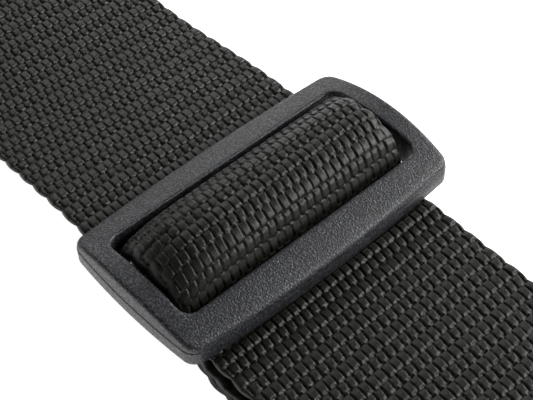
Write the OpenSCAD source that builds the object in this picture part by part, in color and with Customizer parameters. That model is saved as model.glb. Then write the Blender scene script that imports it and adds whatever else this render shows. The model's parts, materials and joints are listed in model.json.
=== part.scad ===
// Adjustable webbing strap for a guitar, laid out in a hairpin on a flat surface.
// +X runs along the strap towards the front tab, +Y across it, +Z up.
// The origin is the front button hole, on the surface the strap lies on.

/* [Webbing] */
// Width of the woven webbing
webbing_width = 50; // [40:0.5:60]
// Thickness of one ply of webbing
webbing_thickness = 1.8; // [1.2:0.1:2.2]

/* [Slider] */
// Overall size of the slider along the strap
slider_depth = 33.9; // [28:0.1:42]
// Height of the slider at the crown of its top face
slider_height = 6.8; // [5.6:0.1:8.2]
// Height of the slider at its long outer edges
slider_edge_height = 3.4; // [2.6:0.1:4.2]
// Width of each long bar of the slider
slider_bar_width = 6.5; // [5:0.1:8]
// Width of each short end of the slider
slider_end_width = 4.3; // [3:0.1:6]
// How far the long sides bow outwards
slider_long_bow = 1.35; // [0.5:0.05:2]
// How far the short ends bow outwards
slider_short_bow = 1; // [0.5:0.05:2]
// Rounding of the slider's outer corners
slider_corner_radius = 2.7; // [1:0.1:5]
// Rounding of the corners of the slider's opening
slot_corner_radius = 1.9; // [0.5:0.1:3]
// Diameter of the centre bar that the webbing is sewn round
centre_bar_diameter = 4; // [3:0.1:5]
// Free height between the sewn loop and the webbing that arches over it
arch_slack = 1.9; // [0.5:0.1:3]

/* [Adjuster ring] */
// Diameter of the bar that the ring is made from
ring_bar_diameter = 4.4; // [3:0.1:6]
// Distance between the centres of the ring's two long bars
ring_bar_spacing = 12; // [11:0.5:20]
// Radius of the ring's corners, along the middle of its bar
ring_corner_radius = 3; // [2.4:0.1:5]

/* [Tabs] */
// Thickness of one layer of leather
leather_thickness = 1.4; // [1:0.1:2]
// How far the leather stands out past each edge of the webbing
leather_margin = 2; // [1:0.5:4]
// From the button hole to the end of the leather at the webbing
tab_reach = 74; // [60:1:100]
// Length of the parallel part of the tab
tab_shoulder = 34; // [26:1:50]
// Radius of the rounded tip round the button hole
tab_tip_radius = 16; // [12:0.5:20]
// Rounding of the tab's corners at the webbing
tab_corner_radius = 5; // [2:0.5:8]
// Diameter of the button hole
button_hole_diameter = 8; // [6:0.5:10]
// Length of the slit that runs on from the button hole
button_slit_length = 11; // [6:0.5:16]
// Width of that slit
button_slit_width = 1.2; // [0.6:0.1:2]
// Length of webbing sewn inside each tab
seam_length = 30; // [20:1:36]
// Length over which the leather comes down off the webbing's end
leather_step_length = 9; // [6:0.5:12]

/* [Stitching] */
// Width of a stitched line
stitch_width = 0.9; // [0.5:0.1:1.5]
// How far a stitched line stands up
stitch_height = 0.4; // [0.2:0.1:0.6]
// Distance from the edge of the leather to its stitched line
stitch_inset = 3; // [2:0.5:5]
// Length of the box stitch on each tab
box_stitch_length = 20; // [12:1:26]
// Distance from each edge of the webbing to the box stitch
box_stitch_inset = 6; // [4:0.5:10]
// Length of the bartack on the folded webbing
bartack_length = 12; // [8:1:16]
// From the bartack to the cut end of the folded webbing
bartack_margin = 4; // [2:0.5:8]

/* [Layout] */
// Visible length of the link between the front tab and the ring
link_length = 22; // [16:1:60]
// From the ring's rear bar to the centre of the slider
ring_to_slider = 150; // [100:5:400]
// Length of the webbing folded back from the slider's centre bar
sewn_length = 38; // [30:1:45]
// Straight webbing behind the slider, up to the hairpin
rear_run_length = 230; // [180:5:600]
// Radius of the hairpin, in which the webbing stands on its edge
hairpin_radius = 80; // [60:5:150]
// Length of webbing over which it turns up onto its edge
twist_length = 100; // [80:5:160]
// Straight length at each end of the hairpin
hairpin_lead = 60; // [40:5:100]
// Straight webbing from the hairpin to the rear tab
return_run_length = 330; // [150:5:700]

/* [Fit] */
// Total side play of the webbing in the slider and the ring
slot_play = 2; // [1:0.1:4]
// Gap between a bar and the webbing that goes round it
loop_clearance = 0.3; // [0.2:0.05:0.6]
// Gap between plies that slide past each other
ply_gap = 0.3; // [0.2:0.05:0.6]

/* [Hidden] */
$fn = 64;
SHARE = 0.3;
WEBBING_GREY = [0.16, 0.16, 0.15];
MOULDED_GREY = [0.30, 0.30, 0.32];
LEATHER_BLACK = [0.07, 0.065, 0.06];
THREAD_BLACK = [0.10, 0.10, 0.10];

half_ply = webbing_thickness / 2;

// Heights above the surface the strap lies on
sewn_stack_top = 2 * webbing_thickness;
running_ply_z = sewn_stack_top + ply_gap;
slider_z = running_ply_z + webbing_thickness + ply_gap;
centre_bar_z = slider_z + slider_height / 2;
ring_turn_inner = ring_bar_diameter / 2 + loop_clearance;
ring_turn_outer = ring_turn_inner + webbing_thickness;
ring_z = ring_turn_outer;
upper_ply_z = ring_z + ring_turn_inner;

// Places along the strap
link_bar_x = -(tab_reach + link_length);
turn_bar_x = link_bar_x - ring_bar_spacing;
slider_x = turn_bar_x - ring_to_slider;
hairpin_start_x = slider_x - rear_run_length;
return_tab_x = hairpin_start_x + return_run_length;
rear_hole_x = return_tab_x + tab_reach;
return_y = 2 * hairpin_radius;

// Slider outline
opening_width = webbing_width + slot_play;
slider_length = opening_width + 2 * slider_end_width;
opening_depth = slider_depth - 2 * slider_bar_width;
crown_radius = bow_radius(slider_depth / 2, slider_height - slider_edge_height);
long_bow_radius = bow_radius(slider_length / 2, slider_long_bow);
short_bow_radius = bow_radius(slider_depth / 2, slider_short_bow);

// Webbing through the slider
bar_loop_radius = centre_bar_diameter / 2 + loop_clearance + half_ply;
neck_bend_radius = 1;
neck_z = sewn_stack_top + neck_bend_radius;
edge_bend_inside = 0.6;
edge_bend_radius = half_ply + edge_bend_inside;
edge_bend_inset = 0.1;
edge_bend_x = opening_depth / 2 - edge_bend_inset;
leg_angle = 75;
running_mid_z = running_ply_z + half_ply;
arch_top_z = centre_bar_z + bar_loop_radius + half_ply + arch_slack + half_ply;
arch_rise = arch_top_z - running_mid_z;
arch_radius = (edge_bend_x * tan(leg_angle) - arch_rise) / (1 / cos(leg_angle) - 1) - edge_bend_radius;
flat_past_bar = 3;
front_past_bar = 5;
rear_ramp_length = 40;
under_bar_reach = slider_depth / 2 + flat_past_bar;
front_reach = slider_depth / 2 + front_past_bar;
rear_reach = under_bar_reach + rear_ramp_length;
level_end = 2;
turn_stub = 6;

// Tabs
tab_width = webbing_width + 2 * leather_margin;
tab_taper_x = -(tab_reach - tab_shoulder);
web_end_x = -(tab_reach - seam_length);
through_cut = 20;
overshoot = 1;

// Radius of the arc that rises by bow over half a chord
function bow_radius(half_chord, bow) = (pow(half_chord, 2) + pow(bow, 2)) / (2 * bow);

// Points on an arc about a centre
function arc_points(x, z, radius, from, to, steps) =
    [for (i = [0:steps]) let (a = from + (to - from) * i / steps) [x + radius * cos(a), z + radius * sin(a)]];

// Unit vector across the line from p to q
function across(p, q) = let (d = q - p) [-d[1], d[0]] / norm(d);

// Unit vector across a path at its point i, mitred between its two neighbours
function mitre(path, i) =
    let (
        last = len(path) - 1,
        before = i == 0 ? across(path[0], path[1]) : across(path[i - 1], path[i]),
        after = i == last ? before : across(path[i], path[i + 1]),
        middle = before + after
    )
    middle * 2 / (middle * middle);

// Outline of a band of the given thickness that follows a path
function band_outline(path, thickness) = concat(
    [for (i = [0:len(path) - 1]) path[i] + mitre(path, i) * thickness / 2],
    [for (i = [len(path) - 1:-1:0]) path[i] - mitre(path, i) * thickness / 2]
);

// Rises from 0 to 1 with level ends
function smooth(u) = let (v = min(max(u, 0), 1)) v * v * (3 - 2 * v);

// The hairpin: the plan of its middle line, its roll and its corners at a distance s
bend_length = PI * hairpin_radius;
hairpin_length = 2 * hairpin_lead + bend_length;
hairpin_steps = 54;
function turned(s) = min(max(s - hairpin_lead, 0), bend_length) / hairpin_radius * 180 / PI;
function past_bend(s) = max(s - hairpin_lead - bend_length, 0);
function middle(s) = [
    hairpin_start_x - min(s, hairpin_lead) - hairpin_radius * sin(turned(s)) + past_bend(s),
    hairpin_radius * (1 - cos(turned(s)))
];
function roll(s) = 90 * smooth(s / twist_length) * smooth((hairpin_length - s) / twist_length);
function side_way(s) = [-sin(turned(s)), -cos(turned(s)), 0];
function width_way(s) = side_way(s) * cos(roll(s)) + [0, 0, sin(roll(s))];
function face_way(s) = [0, 0, cos(roll(s))] - side_way(s) * sin(roll(s));
function middle_height(s) = webbing_width / 2 * sin(roll(s)) + half_ply * cos(roll(s));
function hairpin_corners(s) =
    let (
        m = middle(s),
        c = [m[0], m[1], middle_height(s)],
        w = width_way(s) * webbing_width / 2,
        n = face_way(s) * half_ply
    )
    [c - w - n, c + w - n, c + w + n, c - w + n];

// Centre of the corner arc that joins a long bow to a short bow
function corner_centre(long_centre, short_centre) =
    let (
        long_reach = long_bow_radius - slider_corner_radius,
        short_reach = short_bow_radius - slider_corner_radius,
        apart = norm([long_centre, short_centre]),
        along = (pow(long_reach, 2) - pow(short_reach, 2) + pow(apart, 2)) / (2 * apart),
        aside = sqrt(pow(long_reach, 2) - pow(along, 2)),
        way = [-long_centre, short_centre] / apart
    )
    [long_centre, 0] + way * along + [-way[1], way[0]] * aside;

long_bow_x = slider_depth / 2 - long_bow_radius;
short_bow_y = slider_length / 2 - short_bow_radius;
slider_corner = corner_centre(long_bow_x, short_bow_y);
long_end = atan2(slider_corner[1], slider_corner[0] - long_bow_x);
short_end = atan2(slider_corner[1] - short_bow_y, slider_corner[0]);

// Extrudes an X-Z outline across the strap
module across_strap(width) {
    rotate([90, 0, 0])
        translate([0, 0, -width / 2])
            linear_extrude(width)
                children();
}

// A length of webbing that follows an X-Z path
module webbing_along(path) {
    color(WEBBING_GREY)
        across_strap(webbing_width)
            polygon(band_outline(path, webbing_thickness));
}

// Copies its children to all four corners
module four_corners() {
    for (mx = [0, 1])
        for (my = [0, 1])
            mirror([mx, 0, 0])
                mirror([0, my, 0])
                    children();
}

// The bowed outline of the slider, with rounded corners: two bows and two corners, then the same turned round
module slider_outline() {
    half = concat(
        arc_points(long_bow_x, 0, long_bow_radius, -long_end, long_end, 32),
        arc_points(slider_corner[0], slider_corner[1], slider_corner_radius, long_end, short_end, 8),
        arc_points(0, short_bow_y, short_bow_radius, short_end, 180 - short_end, 20),
        arc_points(-slider_corner[0], slider_corner[1], slider_corner_radius, 180 - short_end, 180 - long_end, 8)
    );
    other_half = [for (point = half) -point];
    polygon(concat(half, other_half));
}

// A rectangle with rounded corners
module rounded_rectangle(depth, width, radius) {
    x = depth / 2 - radius;
    y = width / 2 - radius;
    polygon(concat(
        arc_points(x, y, radius, 0, 90, 10),
        arc_points(-x, y, radius, 90, 180, 10),
        arc_points(-x, -y, radius, 180, 270, 10),
        arc_points(x, -y, radius, 270, 360, 10)
    ));
}

// Frame of the slider, crowned along the strap, with its centre bar
module slider_frame() {
    color(MOULDED_GREY)
        translate([slider_x, 0, 0]) {
            intersection() {
                translate([0, 0, slider_z])
                    linear_extrude(slider_height)
                        difference() {
                            slider_outline();
                            rounded_rectangle(opening_depth, opening_width, slot_corner_radius);
                        }
                translate([0, slider_length / 2 + overshoot, slider_z + slider_height - crown_radius])
                    rotate([90, 0, 0])
                        cylinder(h = slider_length + 2 * overshoot, r = crown_radius, $fn = 180);
            }
            translate([0, opening_width / 2 + slider_end_width / 2, centre_bar_z])
                rotate([90, 0, 0])
                    cylinder(h = opening_width + slider_end_width, d = centre_bar_diameter);
        }
}

// Ring that joins the front link to the long webbing: four bars with round corners
module adjuster_ring() {
    half_depth = ring_bar_spacing / 2;
    half_width = opening_width / 2 + ring_bar_diameter / 2;
    straight_depth = half_depth - ring_corner_radius;
    straight_width = half_width - ring_corner_radius;
    color(MOULDED_GREY)
        translate([turn_bar_x + half_depth, 0, ring_z]) {
            for (side = [-1, 1]) {
                translate([side * half_depth, straight_width, 0])
                    rotate([90, 0, 0])
                        cylinder(h = 2 * straight_width, d = ring_bar_diameter);
                translate([-straight_depth, side * half_width, 0])
                    rotate([0, 90, 0])
                        cylinder(h = 2 * straight_depth, d = ring_bar_diameter);
            }
            four_corners()
                translate([straight_depth, straight_width, 0])
                    rotate_extrude(angle = 90)
                        translate([ring_corner_radius, 0])
                            circle(d = ring_bar_diameter);
        }
}

// Running webbing: up off the surface, under one bar, over the centre, under the other bar
module webbing_over_slider() {
    path = concat(
        [
            [-rear_reach, half_ply],
            [level_end - rear_reach, half_ply],
            [-under_bar_reach, running_mid_z]
        ],
        arc_points(-edge_bend_x, running_mid_z + edge_bend_radius, edge_bend_radius, 270, 270 + leg_angle, 6),
        arc_points(0, arch_top_z - arch_radius, arch_radius, 90 + leg_angle, 90 - leg_angle, 24),
        arc_points(edge_bend_x, running_mid_z + edge_bend_radius, edge_bend_radius, 270 - leg_angle, 270, 6),
        [[front_reach, running_mid_z]]
    );
    translate([slider_x, 0, 0])
        webbing_along(path);
}

// End of the webbing: a loop sewn round the centre bar, then two plies lying flat
module webbing_sewn_end() {
    neck_x = neck_bend_radius + webbing_thickness;
    touch = acos(bar_loop_radius / norm([half_ply, centre_bar_z - neck_z]));
    start = atan2(neck_z - centre_bar_z, half_ply) + touch;
    loop = concat(
        [[half_ply, neck_z]],
        arc_points(0, centre_bar_z, bar_loop_radius, start, 180 - start, 32),
        [[-half_ply, neck_z]]
    );
    stack = concat(
        [[0, neck_z + SHARE]],
        arc_points(neck_x, neck_z, neck_x, 180, 270, 12),
        [[sewn_length, webbing_thickness]]
    );
    color(WEBBING_GREY)
        translate([slider_x, 0, 0])
            difference() {
                across_strap(webbing_width) {
                    polygon(band_outline(loop, webbing_thickness));
                    polygon(band_outline(stack, 2 * webbing_thickness));
                }
                bartack_lines();
            }
}

// Bartack: two lines across the webbing joined by a zigzag, let into the top ply
module bartack_lines() {
    tack_x = sewn_length - bartack_margin - bartack_length / 2;
    translate([tack_x, 0, sewn_stack_top - stitch_height])
        crossed_box(bartack_length, webbing_width - 2 * box_stitch_inset);
}

module sewn_end_bartack() {
    color(THREAD_BLACK)
        translate([slider_x, 0, 0])
            bartack_lines();
}

// Straight webbing behind the slider
module webbing_rear_run() {
    webbing_along([
        [hairpin_start_x, half_ply],
        [slider_x - rear_reach, half_ply]
    ]);
}

// Hairpin: the webbing turns up onto its edge, round, and down again
module webbing_hairpin() {
    steps = hairpin_steps;
    points = [for (i = [0:steps]) for (corner = hairpin_corners(hairpin_length * i / steps)) corner];
    sides = [for (i = [0:steps - 1]) for (j = [0:3])
        let (a = 4 * i + j, b = 4 * i + (j + 1) % 4)
            each [[a, a + 4, b + 4], [a, b + 4, b]]];
    last = 4 * steps;
    ends = [[0, 1, 2], [0, 2, 3], [last + 2, last + 1, last], [last + 3, last + 2, last]];
    color(WEBBING_GREY)
        polyhedron(points, concat(sides, ends), convexity = 4);
}

// Straight webbing from the hairpin into the rear tab
module webbing_return_run() {
    in_tab_z = leather_thickness + half_ply;
    translate([0, return_y, 0])
        webbing_along([
            [hairpin_start_x, half_ply],
            [return_tab_x - 2 * leather_step_length, half_ply],
            [return_tab_x, in_tab_z],
            [rear_hole_x + web_end_x, in_tab_z]
        ]);
}

// Upper ply from the slider to the ring
module webbing_upper_run() {
    ring_end_x = turn_bar_x - turn_stub;
    webbing_along([
        [slider_x + front_reach, running_mid_z],
        [slider_x + sewn_length, running_mid_z],
        [ring_end_x - level_end, upper_ply_z + half_ply],
        [ring_end_x, upper_ply_z + half_ply]
    ]);
}

// Lower ply from the sewn end to the ring
module webbing_lower_run() {
    webbing_along([
        [slider_x + sewn_length, half_ply],
        [turn_bar_x - turn_stub, half_ply]
    ]);
}

// Turn of the webbing round the ring's rear bar
module webbing_ring_turn() {
    middle_radius = ring_turn_inner + half_ply;
    webbing_along(concat(
        [[turn_bar_x - turn_stub, half_ply]],
        arc_points(turn_bar_x, ring_z, middle_radius, -90, 90, 24),
        [[turn_bar_x - turn_stub, upper_ply_z + half_ply]]
    ));
}

// Short link: round the ring's front bar, both ends sewn inside the front tab
module front_link_webbing() {
    plies_top = leather_thickness + 2 * webbing_thickness;
    color(WEBBING_GREY)
        across_strap(webbing_width)
            difference() {
                polygon(concat(
                    [[web_end_x, leather_thickness], [-tab_reach, leather_thickness]],
                    arc_points(link_bar_x, ring_z, ring_turn_outer, 270, 90, 24),
                    [[-tab_reach, plies_top], [web_end_x, plies_top]]
                ));
                polygon(concat(
                    [[-tab_reach, leather_thickness + webbing_thickness]],
                    arc_points(link_bar_x, ring_z, ring_turn_inner, 270, 90, 24)
                ));
            }
}

// Plan of a tab, drawn inset by the given distance from its edge
module tab_outline(inset) {
    reach = tab_reach - inset;
    half_width = tab_width / 2 - inset;
    tip_radius = tab_tip_radius - inset;
    corner = tab_corner_radius - inset / 2;
    shoulder = [tab_taper_x, half_width];
    touch = atan2(shoulder[1], shoulder[0]) - acos(tip_radius / norm(shoulder));
    polygon(concat(
        arc_points(corner - reach, half_width - corner, corner, 180, 90, 8),
        [shoulder],
        arc_points(0, 0, tip_radius, touch, -touch, 40),
        [[shoulder[0], -half_width]],
        arc_points(corner - reach, corner - half_width, corner, -90, -180, 8)
    ));
}

// Button hole with its slit, as a cutter
module button_hole() {
    translate([0, 0, -through_cut / 2]) {
        cylinder(h = through_cut, d = button_hole_diameter);
        translate([-button_slit_length - button_hole_diameter / 2, -button_slit_width / 2, 0])
            cube([button_slit_length + button_hole_diameter / 2, button_slit_width, through_cut]);
    }
}

// Band that follows the top leather over the end of the webbing
module face_band(plies, lift, thickness) {
    high = leather_thickness + plies * webbing_thickness + lift;
    low = leather_thickness + lift;
    step_end = web_end_x + leather_step_length;
    across_strap(2 * tab_width)
        polygon([
            [-tab_reach - overshoot, high],
            [web_end_x, high],
            [step_end, low],
            [tab_tip_radius + overshoot, low],
            [tab_tip_radius + overshoot, low + thickness],
            [step_end, low + thickness],
            [web_end_x, high + thickness],
            [-tab_reach - overshoot, high + thickness]
        ]);
}

// Top leather of a tab
module tab_face(plies) {
    color(LEATHER_BLACK)
        difference() {
            intersection() {
                linear_extrude(through_cut) tab_outline(0);
                face_band(plies, 0, leather_thickness);
            }
            button_hole();
        }
}

// Bottom leather of a tab
module tab_backing() {
    color(LEATHER_BLACK)
        difference() {
            linear_extrude(leather_thickness) tab_outline(0);
            button_hole();
        }
}

// Line of stitching all round a tab
module tab_edge_stitch(plies) {
    color(THREAD_BLACK)
        intersection() {
            linear_extrude(through_cut)
                difference() {
                    tab_outline(stitch_inset);
                    tab_outline(stitch_inset + stitch_width);
                }
            face_band(plies, leather_thickness, stitch_height);
        }
}

// A box of stitching with a cross in it
module crossed_box(length, width) {
    diagonal = norm([length, width]) - 2 * stitch_width;
    lean = atan2(width - stitch_width, length - stitch_width);
    linear_extrude(stitch_height) {
        difference() {
            square([length, width], center = true);
            square([length - 2 * stitch_width, width - 2 * stitch_width], center = true);
        }
        for (side = [-1, 1])
            rotate(side * lean)
                square([diagonal, stitch_width], center = true);
    }
}

// Box stitch that holds the webbing in a tab
module tab_box_stitch(plies) {
    color(THREAD_BLACK)
        translate([
            (web_end_x - tab_reach) / 2,
            0,
            2 * leather_thickness + plies * webbing_thickness
        ])
            crossed_box(box_stitch_length, webbing_width - 2 * box_stitch_inset);
}

// Puts the rear tab's pieces at the end of the return run
module at_rear_tab() {
    translate([rear_hole_x, return_y, 0])
        children();
}

module front_tab_face() {
    tab_face(2);
}

module front_tab_backing() {
    tab_backing();
}

module front_tab_box_stitch() {
    tab_box_stitch(2);
}

module front_tab_edge_stitch() {
    tab_edge_stitch(2);
}

module rear_tab_face() {
    at_rear_tab() tab_face(1);
}

module rear_tab_backing() {
    at_rear_tab() tab_backing();
}

module rear_tab_box_stitch() {
    at_rear_tab() tab_box_stitch(1);
}

module rear_tab_edge_stitch() {
    at_rear_tab() tab_edge_stitch(1);
}

slider_frame();
adjuster_ring();
webbing_over_slider();
webbing_sewn_end();
sewn_end_bartack();
webbing_rear_run();
webbing_hairpin();
webbing_return_run();
webbing_upper_run();
webbing_lower_run();
webbing_ring_turn();
front_link_webbing();
front_tab_face();
front_tab_backing();
front_tab_box_stitch();
front_tab_edge_stitch();
rear_tab_face();
rear_tab_backing();
rear_tab_box_stitch();
rear_tab_edge_stitch();
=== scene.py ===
# %% [markdown]
# # A webbing guitar strap at its slider
#
# The strap is a long band of heavy woven webbing. A moulded slider holds it at the length the
# player wants, a ring joins it to a short link, and a leather tab at each end buttons onto the
# guitar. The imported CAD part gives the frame: where every piece is and how it moves. This file
# gives each piece the shape and finish it has up close.

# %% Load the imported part
import json
import math

import bpy
import bmesh
import numpy as np
from mathutils import Matrix, Vector

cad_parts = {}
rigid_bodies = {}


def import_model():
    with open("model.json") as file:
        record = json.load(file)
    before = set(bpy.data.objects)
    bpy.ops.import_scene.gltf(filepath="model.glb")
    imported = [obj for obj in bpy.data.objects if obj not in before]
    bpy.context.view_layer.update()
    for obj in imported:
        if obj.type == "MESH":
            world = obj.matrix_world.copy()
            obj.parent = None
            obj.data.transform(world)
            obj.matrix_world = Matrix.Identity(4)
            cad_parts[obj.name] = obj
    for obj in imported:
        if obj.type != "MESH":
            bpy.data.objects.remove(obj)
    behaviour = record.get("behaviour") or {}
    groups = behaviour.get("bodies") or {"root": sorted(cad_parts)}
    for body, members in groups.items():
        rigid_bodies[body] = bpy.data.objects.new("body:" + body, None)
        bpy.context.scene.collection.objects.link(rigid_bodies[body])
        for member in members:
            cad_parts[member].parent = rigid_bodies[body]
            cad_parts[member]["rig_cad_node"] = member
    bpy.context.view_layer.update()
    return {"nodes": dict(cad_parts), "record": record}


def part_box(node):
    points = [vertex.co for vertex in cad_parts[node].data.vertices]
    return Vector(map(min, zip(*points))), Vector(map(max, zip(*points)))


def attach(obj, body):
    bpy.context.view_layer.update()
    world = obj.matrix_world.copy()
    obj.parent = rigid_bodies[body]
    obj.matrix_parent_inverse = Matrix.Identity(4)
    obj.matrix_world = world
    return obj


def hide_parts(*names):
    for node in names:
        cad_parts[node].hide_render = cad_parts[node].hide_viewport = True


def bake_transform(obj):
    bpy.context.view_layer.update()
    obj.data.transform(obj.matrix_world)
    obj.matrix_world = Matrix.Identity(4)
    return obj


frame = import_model()
MM = 0.001

# %% [markdown]
# Most places are read from the boxes of the CAD nodes, so that nothing is fitted by eye. They
# are kept in millimetres, because a strap is measured in millimetres.

# %% Read the main places from the frame
def box_mm(node):
    """Lowest and highest corner of a CAD node, in millimetres."""
    low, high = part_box(node)
    return np.array(low) / MM, np.array(high) / MM


slider_low, slider_high = box_mm("slider_frame")
slider_x = (slider_low[0] + slider_high[0]) / 2
slider_base = slider_low[2]
slider_crown = slider_high[2] - slider_low[2]
slider_half_depth = (slider_high[0] - slider_low[0]) / 2
slider_half_length = (slider_high[1] - slider_low[1]) / 2

rear_low, rear_high = box_mm("webbing_rear_run")
over_high = box_mm("webbing_over_slider")[1]
upper_high = box_mm("webbing_upper_run")[1]
sewn_high = box_mm("webbing_sewn_end")[1]
ring_low, ring_high = box_mm("adjuster_ring")
link_low, link_high = box_mm("front_link_webbing")
return_low, return_high = box_mm("webbing_return_run")
PLY = rear_high[2] - rear_low[2]
HALF_WIDTH = (rear_high[1] - rear_low[1]) / 2
print("slider centre", round(slider_x, 2), "webbing", round(2 * HALF_WIDTH, 2), "x", round(PLY, 2))

# %% [markdown]
# ## Camera
#
# The camera stands in front of the slider, to the left of the strap, and looks down on it. It is
# set by where it looks, how far away it is, and its turn, tilt and roll. The lens is long, so
# the strap is drawn with little perspective.

# %% Set the camera
CAMERA_AIM = Vector((slider_x + 1.9, -1.3, slider_base + slider_crown)) * MM
CAMERA_DISTANCE = 213.6 * MM
camera_turn, camera_tilt, camera_roll = (math.radians(a) for a in (49.61, 48.96, -2.38))
camera_back = Vector((
    math.sin(camera_turn) * math.cos(camera_tilt),
    -math.cos(camera_turn) * math.cos(camera_tilt),
    math.sin(camera_tilt),
))
camera_data = bpy.data.cameras.new("camera")
camera_data.lens = 86.13
camera_data.sensor_width = 36
camera_data.clip_start, camera_data.clip_end = 0.01, 10
camera = bpy.data.objects.new("camera", camera_data)
bpy.context.scene.collection.objects.link(camera)
level_right = Vector((math.cos(camera_turn), math.sin(camera_turn), 0))
level_up = camera_back.cross(level_right)
camera_right = level_right * math.cos(camera_roll) + level_up * math.sin(camera_roll)
camera_up = camera_back.cross(camera_right)
camera.matrix_world = Matrix.Translation(CAMERA_AIM + camera_back * CAMERA_DISTANCE) @ Matrix((
    camera_right, camera_up, camera_back)).transposed().to_4x4()
bpy.context.scene.camera = camera
print("camera at", [round(x, 4) for x in camera.matrix_world.translation])

# %% [markdown]
# ## Floor and light
#
# The strap lies on a plain white table in a pale room. The table gives light of its own, so it is
# white all over. Lamps alone could do that too, but so much light would flatten the weave.

# %% Lay the floor
FLOOR_SIZE, FLOOR_GAP = 16, 0.0003


def start_clean():
    """Leave edit mode and drop every selection."""
    if bpy.context.object and bpy.context.object.mode != "OBJECT":
        bpy.ops.object.mode_set(mode="OBJECT")
    bpy.ops.object.select_all(action="DESELECT")


start_clean()
bpy.ops.mesh.primitive_plane_add(size=FLOOR_SIZE, location=(slider_x * MM, 0, -FLOOR_GAP))
floor = bpy.context.active_object
floor.name = "floor"
bpy.ops.object.transform_apply(location=True, rotation=True, scale=True)

floor_paper = bpy.data.materials.new("floor_paper")
floor_paper.use_nodes = True
floor_shader = floor_paper.node_tree.nodes["Principled BSDF"]
floor_shader.inputs["Base Color"].default_value = (0.86, 0.86, 0.86, 1)
floor_shader.inputs["Roughness"].default_value = 0.9
floor_shader.inputs["Emission Color"].default_value = (1, 1, 1, 1)
floor_shader.inputs["Emission Strength"].default_value = 0.95
floor.data.materials.append(floor_paper)

world = bpy.data.worlds.new("studio")
world.use_nodes = True
sky = world.node_tree
look = sky.nodes.new("ShaderNodeTexCoord")
upward = sky.nodes.new("ShaderNodeSeparateXYZ")
sky.links.new(look.outputs["Generated"], upward.inputs["Vector"])
walls = sky.nodes.new("ShaderNodeValToRGB")
white_wall, dark_ceiling = walls.color_ramp.elements
white_wall.position, white_wall.color = 0.18, (1, 1, 1, 1)
dark_ceiling.position, dark_ceiling.color = 0.62, (0.10, 0.10, 0.105, 1)
sky.links.new(upward.outputs["Z"], walls.inputs["Fac"])
sky.links.new(walls.outputs["Color"], sky.nodes["Background"].inputs["Color"])
sky.nodes["Background"].inputs["Strength"].default_value = 0.52
bpy.context.scene.world = world
bpy.context.scene.view_settings.view_transform = "Standard"
print("floor and world are in")

# %% [markdown]
# The room is white low down and dark overhead, so the tops of the yarns stay dark. Three small
# lamps hang low: the one on the right catches the ends of the yarns, the one behind them on the
# right catches their sides, and the one straight behind lays a sheen on what lies flat.

# %% Hang the lamps
def add_lamp(name, turn, tilt, distance, size, power):
    """A square soft lamp that looks at the slider from the given turn and tilt in degrees."""
    a, e = math.radians(turn), math.radians(tilt)
    away = Vector((math.sin(a) * math.cos(e), -math.cos(a) * math.cos(e), math.sin(e)))
    lamp = bpy.data.lights.new(name, "AREA")
    lamp.size = size
    lamp.energy = power
    holder = bpy.data.objects.new(name, lamp)
    bpy.context.scene.collection.objects.link(holder)
    holder.location = CAMERA_AIM + away * distance
    holder.rotation_mode = "QUATERNION"
    holder.rotation_quaternion = away.to_track_quat("Z", "Y")
    return holder


add_lamp("lamp_right", turn=148, tilt=31, distance=1.1, size=0.22, power=9)
add_lamp("lamp_back", turn=184, tilt=28, distance=1.1, size=0.18, power=4.5)
add_lamp("lamp_left", turn=240, tilt=26, distance=1.2, size=0.6, power=2.6)

# %% [markdown]
# ## How the webbing is woven
#
# Heavy webbing is nearly all warp: thick yarns that run along the strap and pass over and under
# the cross yarns, which stay hidden. Where a yarn lies on top it is a float, a flat little brick
# with soft edges. The floats come in two staggered rows. Those of the first row stand upright and
# end in a steep drop that catches the light. Those of the second row sit half a column aside,
# lean, come up slowly and round off on their right. Between the rows a small slanting knot of
# the cross yarn shows.
#
# This could be a bump pattern, but the slider is seen from close by and the yarns cast real
# shadows, so the height of the yarns is worked out here and the mesh is really shaped by it.
#
# A row is told by a few sizes in millimetres: how wide its floats are, how far they lean, how
# broad the soft edges are on the left, on the right (at its start, and what is added by its end)
# and ahead (at the left, and what is added by the right). The rest are shares: how much a float
# tapers, how high it is where it emerges, and its crown's height at its start and its end.

# %% Work out how high the yarns stand
COLUMNS = 29
COLUMN = 2 * HALF_WIDTH / COLUMNS
REPEAT = 4.74
YARN_RISE = 0.8
EMERGED_BY = 0.55
AHEAD_FROM, AHEAD_OVER = 0.35, 0.6
UNEVEN, UNEVEN_HEIGHT = 0.05, 0.06
CHANCES = 64
yarn_chance = np.random.RandomState(7).uniform(-1, 1, (CHANCES, CHANCES, 4))


def chance(row, column, kind):
    """A fixed number from -1 to 1 for each float of the weave."""
    return yarn_chance[row.astype(int) % CHANCES, column.astype(int) % CHANCES, kind]


def soft_edge(u):
    """Rises from 0 at an edge to 1 inside it, steeply at first."""
    return np.sqrt(1 - (1 - np.clip(u, 0, 1)) ** 2)


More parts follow.
